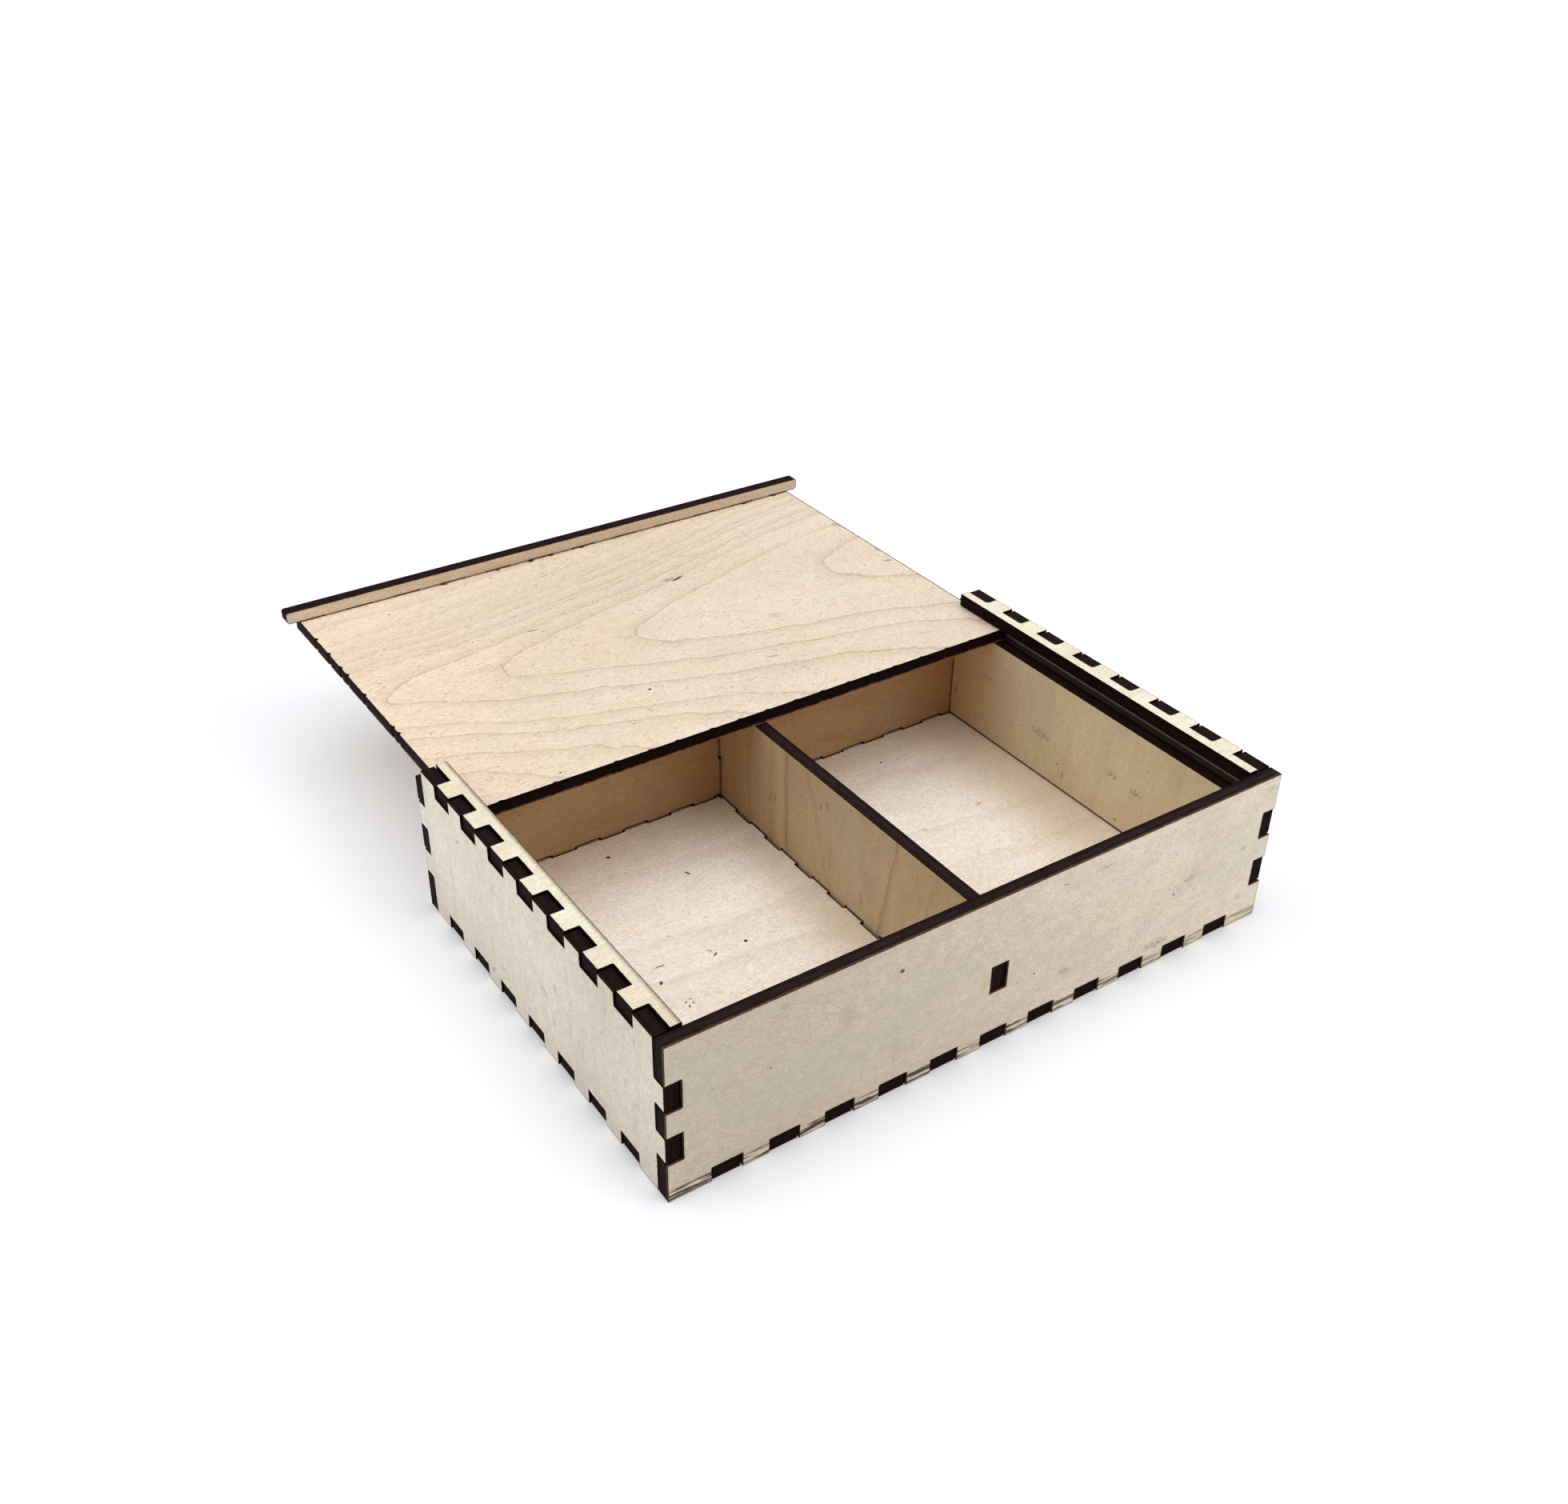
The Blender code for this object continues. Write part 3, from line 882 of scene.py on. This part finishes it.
BASE_LOOK = dict(
    pale=(245, 228, 204),
    deep=(236, 216, 188),
    warm=(236, 208, 180),
    streak=(218, 194, 162),
    ring=(186, 160, 132),
    pore=(120, 96, 74),
    grey=(200, 194, 180),
    tan=(186, 160, 112),
    bright_shade=(255, 240, 215),
    blotches=0.3,
    drifts=(),  # strength, colour, axis of the sheet, from where, to where
    streaks=0.2,
    rings=plain_rings(18.0, 0.05, 6.0),
    band=0.12,
    line=0.15,
    pores=0.3,
    pore_depth=0.3,
    fleck=0.045,
    fuzz=0.085,
    mottle=0.02,
    specks=0.1,
    speck_depth=0.35,
    dots=0.05,
    bloom=0.1,
    halo=0.25,
    halo_width=0.6,
    # bright_edge and bright_shade: a painted highlight along the edges
    bright_edge=0.0,
    torn_foot=False,
    # strength, colour, centre, half size, turn in degrees, raggedness, softness, breakup
    marks=(),
    finger_gaps=(),  # axis along the joint, strength, colour, centre, half size
    shown=SHEET,  # height in the sheet of the face that bears the marks
    cut_brown=0.5,
    cut_brown_shade=CHAR_BROWN,
    cut_dust=1.0,
)

LOOKS = {node: dict(BASE_LOOK) for node in GRAIN}

LOOKS["lid_plate"].update(
    pale=(239, 224, 203),
    deep=(231, 214, 192),
    warm=(240, 213, 190),
    streak=(226, 203, 172),
    ring=(178, 152, 124),
    rings=figure(LID_FIGURE),
    band=0.2,
    line=0.5,
    pore=(100, 76, 56),
    pores=0.68,
    pore_depth=0.6,
    fleck=0.075,
    fuzz=0.07,
    mottle=0.03,
    drifts=(
        (0.65, (252, 227, 203), 0, 5.0, -72.0),
        (0.35, (242, 227, 203), 0, 10.0, 70.0),
    ),
    dots=0.14,
    halo=0.1,
    cut_brown=0.95,
    cut_brown_shade=(172, 122, 86),
)
LOOKS["lid_plate"]["marks"] = (
    (0.9, (78, 44, 28), (0.0, 122.98), (LONG, 0.4), 0, 0.9, 0.5, 0.0),
    (0.95, CRACK, (16.8, 94.6), (2.3, 0.45), -20, 0.5, 0.5, 0.0),
    (0.8, GREY, (14.8, 95.2), (2.2, 1.1), 10, 0.7, 0.7, 0.5),
    (0.85, DARK, (-25.0, 90.0), (1.6, 0.28), 8, 0.5, 0.5, 0.0),
    (0.7, GREY, (15.5, 50.0), (2.0, 0.6), 14, 0.8, 0.7, 0.5),
    (0.95, CRACK, (-15.5, 52.5), (0.46, 0.42), 0, 0.3, 0.4, 0.0),
    (0.9, CRACK, (-47.0, 34.0), (0.36, 0.32), 0, 0.3, 0.4, 0.0),
    (0.75, DARK, (66.6, 74.6), (1.5, 0.7), 20, 0.9, 0.6, 0.4),
    (0.6, GREY, (68.0, 81.1), (0.9, 1.4), 0, 0.9, 0.6, 0.4),
    # Painted shade on the lid beside and under the right rail
    (0.55, BROWN, (67.6, 98.4), (1.4, 2.2), 0, 0.9, 0.7, 0.5),
    (0.75, DARK, (68.5, 80.0), (0.36, LONG), 0, 0.5, 0.5, 0.0),
    (0.6, GREY, (26.5, 66.0), (2.2, 1.6), 0, 0.9, 0.7, 0.7),
    (0.4, GREY, (25.0, 104.0), (2.6, 0.9), 35, 0.9, 0.7, 0.7),
    (0.35, GREY, (-8.0, 119.0), (1.4, 2.4), 0, 0.9, 0.7, 0.7),
    (0.3, BROWN, (-42.0, 79.5), (6.5, 2.0), 6, 0.9, 0.8, 0.8),
    (0.35, GREY, (51.0, 40.0), (2.6, 0.8), 12, 0.9, 0.7, 0.6),
    (0.95, CRACK, (-32.6, 122.5), (1.3, 0.5), 12, 0.6, 0.4, 0.0),
    (0.9, CRACK, (-18.2, 122.5), (0.9, 0.5), 12, 0.6, 0.4, 0.0),
    (1.0, CRACK, (-9.2, 122.6), (0.9, 0.8), 0, 0.6, 0.4, 0.0),
    (0.9, CRACK, (-3.4, 122.7), (0.9, 0.55), 0, 0.6, 0.4, 0.0),
    (0.9, CRACK, (5.2, 122.6), (0.9, 0.6), 0, 0.6, 0.4, 0.0),
    (0.9, CRACK, (54.5, 122.6), (1.0, 0.5), 0, 0.6, 0.4, 0.0),
    (0.9, CRACK, (64.0, 122.6), (1.0, 0.5), 0, 0.6, 0.4, 0.0),
)
LOOKS["lid_lip"].update(
    pale=(232, 213, 187),
    deep=(222, 200, 173),
    warm=(220, 194, 163),
    streak=(212, 184, 150),
    rings=plain_rings(9.0, 0.02, 2.0),
    shown=0.0,
    cut_dust=0.0,
    halo=0.35,
    tan=(150, 108, 70),
    marks=((0.55, (98, 58, 34), (0.0, 32.74), (LONG, 0.3), 0, 0.5, 0.7, 0.0),),
)
LOOKS["floor"].update(
    pale=(255, 247, 235),
    deep=(248, 237, 222),
    warm=(243, 227, 209),
    streak=(232, 214, 194),
    ring=(204, 184, 158),
    rings=figure(FLOOR_FIGURE),
    band=0.2,
    line=0.1,
    pores=0.7,
    pore_depth=0.38,
    fleck=0.055,
    fuzz=0.09,
    dots=0.3,
    finger_gaps=(
        # Painted shade in the gaps at the front wall's fingers and beside the divider's tabs
        (0, 1.0, SOOT_AND_SHADE, (6.0, 45.86), (3.15, 0.34)),
        *((1, 0.95, SOOT_AND_SHADE, (x, 0.0), (0.42, 3.2)) for x in (-1.85, 1.85)),
    ),
)
LOOKS["floor"]["marks"] = (
    (0.95, DARK, (-34.8, 39.2), (0.75, 0.55), 30, 0.5, 0.4, 0.0),
    (0.9, DARK, (-23.2, 25.0), (1.3, 0.35), 68, 0.5, 0.5, 0.0),
    (0.9, DARK, (-32.4, -1.0), (0.95, 0.32), -35, 0.6, 0.5, 0.0),
    (0.7, GREY, (-32.9, 0.6), (0.9, 0.25), 60, 0.7, 0.5, 0.0),
    (1.0, CRACK, (-25.0, -0.8), (0.52, 0.44), 0, 0.3, 0.4, 0.0),
    (0.95, DARK, (-46.0, -2.6), (0.75, 0.42), -50, 0.4, 0.4, 0.0),
    (0.75, DARK, (-44.8, -10.0), (0.6, 0.28), -30, 0.7, 0.5, 0.0),
    (0.7, GREY, (-43.6, -9.6), (0.6, 0.28), 20, 0.7, 0.5, 0.0),
    (0.75, GREY, (-43.6, -10.9), (0.5, 0.3), 60, 0.7, 0.5, 0.0),
    (0.8, DARK, (-44.8, -11.4), (0.6, 0.3), -60, 0.7, 0.5, 0.0),
    (0.85, DARK, (-43.6, 1.9), (1.3, 0.26), 0, 0.9, 0.5, 0.0),
    (0.95, CRACK, (37.7, 36.8), (0.42, 0.36), 0, 0.3, 0.4, 0.0),
    (0.6, GREY, (46.3, 11.0), (1.0, 0.6), 0, 0.9, 0.6, 0.5),
    (0.5, GREY, (29.5, 9.5), (0.9, 0.3), 20, 0.6, 0.6, 0.3),
    (0.5, GREY, (54.5, 19.0), (0.7, 0.25), 10, 0.6, 0.6, 0.3),
    # Painted shade on the floor beside the divider
    (0.5, (208, 184, 154), (-3.0, -5.0), (15.0, 70.0), 0, 0.05, 1.0, 0.0),
    # Painted shade along the foot of the front wall and in the corners at the liners and the divider,
    # with some soot
    (0.75, SOOT_AND_SHADE, (0.0, 46.08), (LONG, 0.3), 0, 0.3, 0.6, 0.0),
    *((0.9, SOOT_AND_SHADE, (x, 0.0), (0.42, LONG), 0, 0.3, 0.5, 0.0) for x in (65.9, -65.9)),
    *((0.9, SOOT_AND_SHADE, (x, 0.0), (0.35, LONG), 0, 0.3, 0.6, 0.0) for x in (1.5, -1.5)),
    # Painted shade on the floor beside the right liner
    (0.6, (206, 178, 144), (62.0, 10.0), (24.0, 60.0), 0, 0.05, 1.0, 0.0),
)
LOOKS["back_wall"].update(
    pale=(243, 229, 207),
    deep=(232, 217, 194),
    warm=(238, 219, 198),
    streak=(216, 202, 180),
    ring=(190, 180, 160),
    rings=plain_rings(13.0, -0.55, 5.0),
    band=0.1,
    line=0.0,
    specks=0.35,
    dots=0.06,
    bloom=0.3,
    mottle=0.045,
    # The drifts paint shade towards the left end of the wall and light towards its right end
    drifts=((0.9, (201, 187, 168), 0, 42.0, -55.0), (0.5, (252, 238, 214), 0, 48.0, 70.0)),
    shown=0.0,
    halo=0.3,
    halo_width=0.9,
    tan=(186, 172, 118),
    torn_foot=True,
    cut_brown=0.9,
    cut_brown_shade=(112, 82, 58),
)
LOOKS["back_wall"]["marks"] = (
    (0.9, DARK, (-23.5, 29.0), (0.65, 0.6), 0, 0.5, 0.5, 0.0),
    (0.8, DARK, (-51.2, 20.5), (0.3, 0.26), 0, 0.3, 0.4, 0.0),
    (0.85, DARK, (45.3, 16.5), (0.36, 0.32), 0, 0.4, 0.4, 0.0),
    (0.75, DARK, (9.0, 13.0), (0.35, 0.3), 0, 0.4, 0.4, 0.0),
    (0.6, DARK, (14.5, 32.0), (0.8, 0.22), 25, 0.6, 0.5, 0.2),
    (0.6, DARK, (-44.5, 16.0), (0.24, 0.2), 0, 0.3, 0.4, 0.0),
    (0.75, GREY, (42.0, 5.2), (4.4, 1.3), 0, 0.9, 0.6, 0.8),
    (0.5, GREY, (49.5, 18.8), (2.2, 1.2), 0, 0.9, 0.6, 0.8),
    (0.55, GREY, (17.0, 10.0), (1.8, 1.2), 20, 0.9, 0.6, 0.7),
    (0.4, GREY, (-48.0, 33.0), (1.8, 0.8), 0, 0.9, 0.6, 0.6),
    (0.25, GREY, (-35.0, 24.0), (3.4, 4.0), 0, 0.7, 0.9, 0.4),
    (0.4, GREY, (25.0, 32.0), (3.0, 0.7), 0, 0.9, 0.6, 0.7),
    (0.5, GREY, (69.5, 33.0), (1.6, 1.0), 0, 0.9, 0.6, 0.7),
    (0.4, GREY, (64.5, 20.0), (1.6, 1.0), -40, 0.9, 0.6, 0.7),
    (0.2, GREY, (-24.0, 10.0), (2.0, 5.0), 0, 0.7, 0.9, 0.4),
    (0.5, (196, 186, 130), (-3.4, 16.4), (1.6, 4.4), 0, 0.5, 0.9, 0.0),
    (0.45, GREY, (66.0, 7.0), (1.4, 0.8), 30, 0.9, 0.6, 0.7),
    (0.6, GREY, (54.5, 2.3), (3.0, 1.2), 0, 0.9, 0.5, 0.8),
)
# The brown tones are painted shade: the inner face lies in the lid's shadow. The drift turns the outer
# face pale like the other walls
LOOKS["front_wall"].update(
    pale=(187, 154, 116),
    deep=(177, 143, 103),
    warm=(171, 134, 94),
    streak=(164, 120, 78),
    ring=(130, 92, 58),
    rings=plain_rings(14.0, 0.25, 6.0),
    band=0.1,
    line=0.08,
    # Painted shade in the gaps at the foot of the wall
    finger_gaps=((0, 1.0, SOOT_AND_SHADE, (0.0, 3.42), (2.85, 0.2)),),
    drifts=((1.0, (242, 229, 208), 2, 1.0, 2.0),),
    pore=(96, 66, 42),
    shown=0.0,
    halo=0.15,
)
LOOKS["front_wall"]["marks"] = (
    # Painted shade in the corners at the liners and the divider and along the floor, with some soot
    *((0.8, SOOT_AND_SHADE, (x, 16.0), (0.35, 60.0), 0, 0.3, 0.6, 0.0) for x in (-65.9, -1.6, 1.6, 65.9)),
    (0.6, SOOT_AND_SHADE, (0.0, 3.0), (LONG, 0.22), 0, 0.3, 0.6, 0.0),
    # Painted shade on the inner face beside the divider and the right liner
    *((0.4, (178, 116, 58), (x, 16.0), (17.0, 60.0), 0, 0.05, 1.0, 0.0) for x in (-4.0, 63.0)),
)
for end_wall in ("left_end_wall", "right_end_wall"):
    LOOKS[end_wall].update(
        pale=(254, 246, 231),
        deep=(246, 236, 219),
        warm=(247, 234, 215),
        # The drifts darken the walls towards the near end, painted shade, and towards the foot
        drifts=((0.55, (222, 210, 190), 1, 25.0, -46.0), (0.35, (222, 210, 190), 0, 26.0, 3.0)),
        streak=(226, 214, 196),
        band=0.08,
        line=0.03,
        specks=0.3,
        bloom=0.22,
        mottle=0.035,
        tan=(206, 196, 150),
        shown=0.0,
        cut_brown=0.3,
        cut_dust=0.3,
    )
LOOKS["right_end_wall"]["marks"] = (
    # Painted shade in the lid's channel under the rail, on the wall's inner face
    (0.7, (98, 78, 62), (31.5, 0.0), (3.0, LONG), 0, 0.1, 0.3, 0.0),
    (0.92, SOOT_AND_SHADE, (29.4, 0.0), (1.5, LONG), 0, 0.25, 0.4, 0.0),
    (0.85, SOOT_AND_SHADE, (33.0, 0.0), (0.8, LONG), 0, 0.25, 0.4, 0.0),
)
LOOKS["left_end_wall"]["marks"] = (
    (0.5, GREY, (19.5, -10.0), (1.6, 0.8), 0, 0.8, 0.7, 0.5),
    (0.4, GREY, (15.3, -5.0), (1.2, 2.4), 20, 0.9, 0.7, 0.6),
    (0.5, GREY, (10.3, -8.3), (1.1, 1.2), 0, 0.9, 0.7, 0.6),
    (0.75, DARK, (3.7, 18.3), (0.8, 0.45), 0, 0.5, 0.5, 0.2),
    (0.4, GREY, (7.8, 13.3), (0.9, 1.5), 0, 0.9, 0.7, 0.6),
    (0.5, GREY, (27.8, 30.0), (0.5, 1.4), -35, 0.7, 0.6, 0.3),
    (0.45, GREY, (29.5, -39.2), (1.0, 0.5), 0, 0.8, 0.6, 0.4),
    (0.3, GREY, (22.4, -27.5), (0.7, 0.8), 0, 0.8, 0.7, 0.3),
    (0.4, GREY, (17.8, -35.8), (0.6, 0.6), 0, 0.8, 0.7, 0.4),
    (0.6, DARK, (5.3, 36.7), (0.35, 0.3), 0, 0.4, 0.5, 0.0),
    (0.4, GREY, (10.7, 35.0), (0.3, 0.6), 0, 0.6, 0.5, 0.2),
)
# The liners' tones are paler than the divider's: painted light, as their faces take more light from the
# left than the lamps give. The drift darkens them towards the far end under the lid, painted shade
for liner in ("left_liner", "right_liner"):
    LOOKS[liner].update(
        pale=(227, 211, 176),
        deep=(217, 199, 163),
        warm=(216, 192, 158),
        streak=(198, 176, 138),
        ring=(168, 136, 98),
        band=0.08,
        line=0.03,
        pores=0.36,
        shown=0.0,
        drifts=((0.6, (212, 158, 100), 1, 20.0, 46.0),),
        bright_edge=0.5,
        bright_shade=(246, 208, 176),
    )
LOOKS["right_liner"]["marks"] = (
    (0.8, GREY, (15.8, -10.3), (1.3, 2.6), 0, 0.9, 0.6, 0.95),
    (0.8, GREY, (14.8, -17.4), (1.3, 2.2), 0, 0.9, 0.6, 0.95),
    (0.8, GREY, (14.0, 13.0), (1.6, 4.8), 0, 0.9, 0.6, 0.95),
    (0.6, GREY, (19.3, 33.4), (1.2, 2.6), 0, 0.9, 0.6, 0.95),
    (0.8, DARK, (7.3, 4.8), (1.5, 0.16), 0, 0.5, 0.5, 0.0),
    (0.85, DARK, (9.2, 6.8), (0.3, 0.26), 0, 0.3, 0.4, 0.0),
    (0.85, DARK, (5.2, -12.8), (0.35, 0.3), 0, 0.3, 0.4, 0.0),
    (0.7, DARK, (12.7, 19.7), (0.26, 0.24), 0, 0.3, 0.4, 0.0),
    (0.5, DARK, (22.0, -20.0), (0.7, 0.16), 0, 0.5, 0.5, 0.2),
    (0.45, BROWN, (11.0, 43.8), (2.2, 0.7), 0, 0.7, 0.8, 0.4),
)
LOOKS["divider"].update(
    pale=(202, 181, 147),
    deep=(192, 169, 133),
    warm=(194, 166, 132),
    streak=(172, 146, 110),
    ring=(140, 110, 74),
    rings=figure(DIVIDER_FIGURE),
    band=0.4,
    line=0.12,
    pores=0.5,
    pore_depth=0.4,
    specks=0.3,
    shown=0.0,
    # The first drift darkens the far end under the lid, painted shade
    drifts=((0.6, (190, 146, 98), 1, 18.0, 44.0), (0.25, (216, 176, 142), 1, -10.0, -46.0)),
    bright_edge=0.5,
    bright_shade=(246, 208, 176),
)
LOOKS["divider"]["marks"] = (
    (0.65, DARK, (24.2, 4.6), (1.3, 0.5), 0, 0.8, 0.6, 0.5),
    (0.55, DARK, (22.8, 6.8), (1.0, 0.6), 0, 0.8, 0.6, 0.6),
    (0.5, GREY, (8.5, -8.0), (2.4, 1.2), 0, 0.9, 0.7, 0.6),
    (0.75, DARK, (14.8, 23.8), (1.4, 0.2), 0, 0.5, 0.5, 0.2),
    (0.3, GREY, (14.0, -10.0), (5.0, 4.0), 0, 0.9, 0.8, 0.8),
    (0.3, GREY, (12.0, 3.0), (6.0, 2.0), 0, 0.9, 0.8, 0.8),
    (0.35, (214, 190, 132), (16.0, 22.0), (60.0, 2.2), 0, 0.1, 0.9, 0.0),
)
for rail in ("left_rail", "right_rail"):
    LOOKS[rail].update(
        pale=(252, 245, 227),
        deep=(245, 236, 214),
        warm=(247, 236, 212),
        streak=(226, 210, 174),
        streaks=0.35,
        rings=plain_rings(9.0, 0.0, 3.0),
        band=0.06,
        line=0.05,
        tan=(206, 190, 138),
        halo=0.3,
        cut_brown=0.25,
    )
LOOKS["left_rail"].update(
    drifts=((0.6, (218, 203, 172), 1, -20.0, -47.0), (0.4, (232, 220, 192), 1, 10.0, 46.0)),
    marks=((0.7, RAIL_SMOKE, (-66.3, 0.0), (1.15, LONG), 0, 0.2, 1.0, 0.0),),
)

BODY_OF = {node: "box" for node in GRAIN}
BODY_OF.update(lid_plate="lid", lid_lip="lid")
PATTERN_STEP = (37.0, 23.0, 11.0)  # from one sheet's patterns to the next one's

for number, node in enumerate(GRAIN):
    piece = cut_sheet(node, number)
    shift = tuple(step * number for step in PATTERN_STEP)
    piece.data.materials.append(veneer_material(node + "_veneer", LOOKS[node], shift))
    piece.data.materials.append(cut_material(node + "_cut", LOOKS[node], (*shift[:2], 0.0)))
    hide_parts(node)
    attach(piece, BODY_OF[node])


# Floor, light and camera

WHITE = (1.0, 1.0, 1.0, 1.0)
TABLE = (0.94, 0.96, 1.0, 1.0)
TABLE_ROUGHNESS = 0.9
GROUND_HALF = 12.0  # in metres
GROUND_LIFT = 0.08  # what the white table adds for the camera, so that it reads as white
WORLD_LIGHT = 0.3
# Soft lamps: name, share of the light on a level surface, width in degrees, where the light comes from
LAMPS = (
    ("overhead", 0.53, 72.0, (0.0, 0.0, 1.0)),
    ("left_side", 0.08, 50.0, (-1.0, 0.6, 0.8)),
    ("right_side", 0.12, 50.0, (0.8, -1.0, 0.8)),
)


def seen_directly(tree):
    """1 for the rays of the camera and for those that gloss or glass pass on."""
    path = tree.nodes.new("ShaderNodeLightPath").outputs
    names = ("Is Camera Ray", "Is Glossy Ray", "Is Transmission Ray")
    camera, glossy, passed_on = (Value(path[name]) for name in names)
    return larger(larger(camera, glossy), passed_on)


def lay_ground():
    mesh = bpy.data.meshes.new("ground")
    work = bmesh.new()
    for x, y in ((-1, -1), (1, -1), (1, 1), (-1, 1)):
        work.verts.new((x * GROUND_HALF, y * GROUND_HALF, 0.0))
    work.faces.new(work.verts)
    work.to_mesh(mesh)
    work.free()
    ground = bpy.data.objects.new("ground", mesh)
    bpy.context.scene.collection.objects.link(ground)
    made, tree, shader = new_material("white_table")
    shader.inputs["Base Color"].default_value = TABLE
    shader.inputs["Roughness"].default_value = TABLE_ROUGHNESS
    shader.inputs["Specular IOR Level"].default_value = 0.0
    shader.inputs["Emission Color"].default_value = WHITE
    feed(shader.inputs["Emission Strength"], seen_directly(tree) * GROUND_LIFT)
    mesh.materials.append(made)


def light_it():
    world = bpy.data.worlds.new("studio")
    bpy.context.scene.world = world
    world.use_nodes = True
    tree = world.node_tree
    background = tree.nodes["Background"]
    background.inputs["Color"].default_value = WHITE
    feed(background.inputs["Strength"], fade(seen_directly(tree), 0.0, 1.0, WORLD_LIGHT, 1.0))
    for name, share, width, source in LAMPS:
        towards = Vector(source).normalized()
        lamp = bpy.data.lights.new(name, "SUN")
        lamp.energy, lamp.angle = share * math.pi / towards.z, math.radians(width)
        sun = bpy.data.objects.new(name, lamp)
        sun.rotation_euler = towards.to_track_quat("Z", "Y").to_euler()
        bpy.context.scene.collection.objects.link(sun)


def stand_camera():
    lens = bpy.data.cameras.new("camera")
    lens.sensor_fit, lens.sensor_width, lens.lens = "HORIZONTAL", SENSOR, LENS
    lens.clip_start, lens.clip_end = CLIP
    camera = bpy.data.objects.new("camera", lens)
    bpy.context.scene.collection.objects.link(camera)
    turned = Matrix((RIGHT, UP, -LOOK)).transposed()
    camera.matrix_world = Matrix.Translation(EYE) @ turned.to_4x4()
    bpy.context.scene.camera = camera


lay_ground()
light_it()
stand_camera()
bpy.context.scene.view_settings.view_transform = "Standard"
